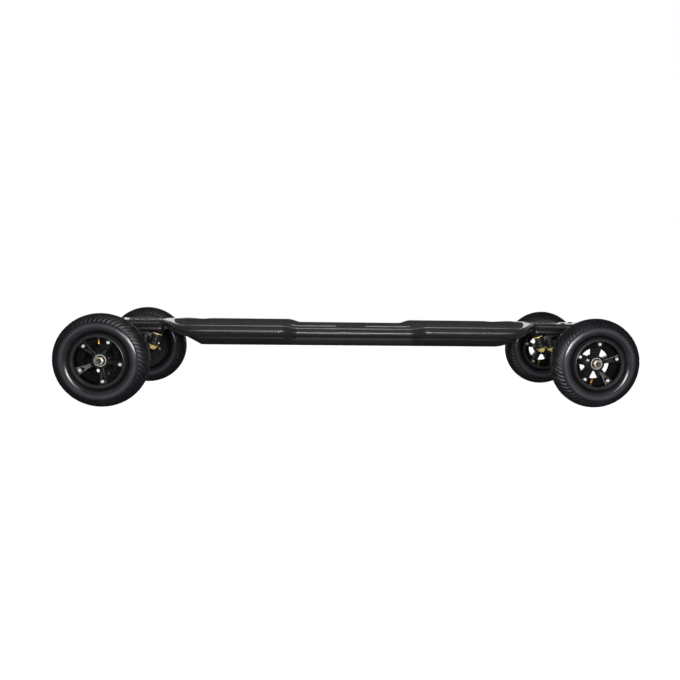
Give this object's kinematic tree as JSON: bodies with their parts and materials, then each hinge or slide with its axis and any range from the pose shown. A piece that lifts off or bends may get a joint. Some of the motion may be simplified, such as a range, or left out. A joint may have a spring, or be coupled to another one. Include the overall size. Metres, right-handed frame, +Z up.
{
  "type": "electric skateboard",
  "caption": "All-terrain electric skateboard with a waisted carbon deck, sprung carving trucks, air-filled tyres and a belt drive at the rear wheels.",
  "frame": {"origin": "on the floor under the middle of the board", "axes": "+X to the front of the board, +Y to the rider's left, +Z up"},
  "size_m": [1.117, 0.374, 0.175],
  "materials": {
    "carbon": "woven carbon laminate under a clear satin coat",
    "grip": "fine grit on a dark slate sheet",
    "cover": "matt black anodised plate",
    "rubber": "matt black",
    "tyre": "black rubber, satin sidewalls",
    "black_alloy": "satin black anodised",
    "bare_alloy": "bare, finely brushed",
    "steel": "plain bright steel",
    "gold": "gold-coloured plating",
    "battery": "blue shrink wrap",
    "circuit_board": "green solder mask",
    "plastic": "moulded black",
    "belt": "matt black toothed belt",
    "motor": "satin black"
  },
  "bodies": {
    "deck": {"deck_shell": "carbon", "grip_tape": "grip", "belly_cover": "cover", "cover_gasket": "rubber", "battery_pack": "battery", "motor_controller": "bare_alloy", "battery_management_board": "circuit_board", "charge_port": "plastic", "motor_cable_gland": "rubber", "front_riser_pad": "rubber", "front_baseplate": "black_alloy", "front_inner_kingpin": "gold", "front_inner_upper_bushing": "rubber", "front_inner_lower_bushing": "rubber", "rear_riser_pad": "rubber", "rear_baseplate": "black_alloy", "rear_inner_kingpin": "gold", "rear_inner_upper_bushing": "rubber", "rear_inner_lower_bushing": "rubber"},
    "front_knuckle": {"front_knuckle": "black_alloy", "front_outer_kingpin": "gold", "front_outer_upper_bushing": "rubber", "front_outer_lower_bushing": "rubber"},
    "front_hanger": {"front_hanger": "black_alloy", "front_axle": "steel", "front_left_axle_nut": "gold", "front_right_axle_nut": "gold"},
    "front_left_wheel": {"front_left_tyre": "tyre", "front_left_rim_outer": "black_alloy", "front_left_rim_inner": "black_alloy"},
    "front_right_wheel": {"front_right_tyre": "tyre", "front_right_rim_outer": "black_alloy", "front_right_rim_inner": "black_alloy"},
    "rear_knuckle": {"rear_knuckle": "black_alloy", "rear_outer_kingpin": "gold", "rear_outer_upper_bushing": "rubber", "rear_outer_lower_bushing": "rubber"},
    "rear_hanger": {"rear_hanger": "black_alloy", "rear_axle": "steel", "rear_left_axle_nut": "gold", "rear_right_axle_nut": "gold", "rear_left_motor_mount": "black_alloy", "rear_left_motor_can": "motor", "rear_left_drive_belt": "belt", "rear_right_motor_mount": "black_alloy", "rear_right_motor_can": "motor", "rear_right_drive_belt": "belt"},
    "rear_left_wheel": {"rear_left_tyre": "tyre", "rear_left_rim_outer": "black_alloy", "rear_left_rim_inner": "black_alloy", "rear_left_wheel_gear": "black_alloy"},
    "rear_right_wheel": {"rear_right_tyre": "tyre", "rear_right_rim_outer": "black_alloy", "rear_right_rim_inner": "black_alloy", "rear_right_wheel_gear": "black_alloy"},
    "rear_left_rotor": {"rear_left_motor_pulley": "steel"},
    "rear_right_rotor": {"rear_right_motor_pulley": "steel"},
    "power_button": {"power_button": "bare_alloy"},
    "charge_port_cap": {"charge_port_cap": "rubber"}
  },
  "joints": [
    {"name": "front_inner_steer", "type": "hinge", "parent": "deck", "child": "front_knuckle", "pos_m": [0.41396, 0, 0.11337], "axis": [0.9397, 0, 0.342], "range_deg": [-8, 8], "stiffness_Nm_per_rad": 40, "deforming": ["front_inner_upper_bushing", "front_inner_lower_bushing"]},
    {"name": "front_outer_steer", "type": "hinge", "parent": "front_knuckle", "child": "front_hanger", "pos_m": [0.4367, 0, 0.11229], "axis": [0.9397, 0, 0.342], "range_deg": [-8, 8], "stiffness_Nm_per_rad": 40, "deforming": ["front_outer_upper_bushing", "front_outer_lower_bushing"]},
    {"name": "front_left_wheel_spin", "type": "hinge", "parent": "front_hanger", "child": "front_left_wheel", "pos_m": [0.471, 0.162, 0.0875], "axis": [0, 1, 0], "continuous": true},
    {"name": "front_right_wheel_spin", "type": "hinge", "parent": "front_hanger", "child": "front_right_wheel", "pos_m": [0.471, -0.162, 0.0875], "axis": [0, 1, 0], "continuous": true},
    {"name": "rear_inner_steer", "type": "hinge", "parent": "deck", "child": "rear_knuckle", "pos_m": [-0.41396, 0, 0.11337], "axis": [-0.9397, 0, 0.342], "range_deg": [-8, 8], "stiffness_Nm_per_rad": 40, "deforming": ["rear_inner_upper_bushing", "rear_inner_lower_bushing"]},
    {"name": "rear_outer_steer", "type": "hinge", "parent": "rear_knuckle", "child": "rear_hanger", "pos_m": [-0.4367, 0, 0.11229], "axis": [-0.9397, 0, 0.342], "range_deg": [-8, 8], "stiffness_Nm_per_rad": 40, "deforming": ["rear_outer_upper_bushing", "rear_outer_lower_bushing"]},
    {"name": "rear_left_wheel_spin", "type": "hinge", "parent": "rear_hanger", "child": "rear_left_wheel", "pos_m": [-0.471, 0.162, 0.0875], "axis": [0, 1, 0], "continuous": true},
    {"name": "rear_right_wheel_spin", "type": "hinge", "parent": "rear_hanger", "child": "rear_right_wheel", "pos_m": [-0.471, -0.162, 0.0875], "axis": [0, 1, 0], "continuous": true},
    {"name": "rear_left_rotor_spin", "type": "hinge", "parent": "rear_hanger", "child": "rear_left_rotor", "pos_m": [-0.5336, 0.12, 0.10081], "axis": [0, 1, 0], "continuous": true},
    {"name": "rear_right_rotor_spin", "type": "hinge", "parent": "rear_hanger", "child": "rear_right_rotor", "pos_m": [-0.5336, -0.12, 0.10081], "axis": [0, 1, 0], "continuous": true},
    {"name": "power_button_press", "type": "slide", "parent": "deck", "child": "power_button", "axis": [0.4472, 0, 0.8944], "range_m": [0, 0.0012], "stiffness_N_per_m": 300},
    {"name": "charge_port_cap_hinge", "type": "hinge", "parent": "deck", "child": "charge_port_cap", "pos_m": [-0.3163, 0.041, 0.11741], "axis": [0.8944, 0, -0.4472], "range_deg": [0, 110]}
  ],
  "couplings": [
    {"joint": "rear_left_rotor_spin", "follows": "rear_left_wheel_spin", "ratio": 4},
    {"joint": "rear_right_rotor_spin", "follows": "rear_right_wheel_spin", "ratio": 4}
  ]
}
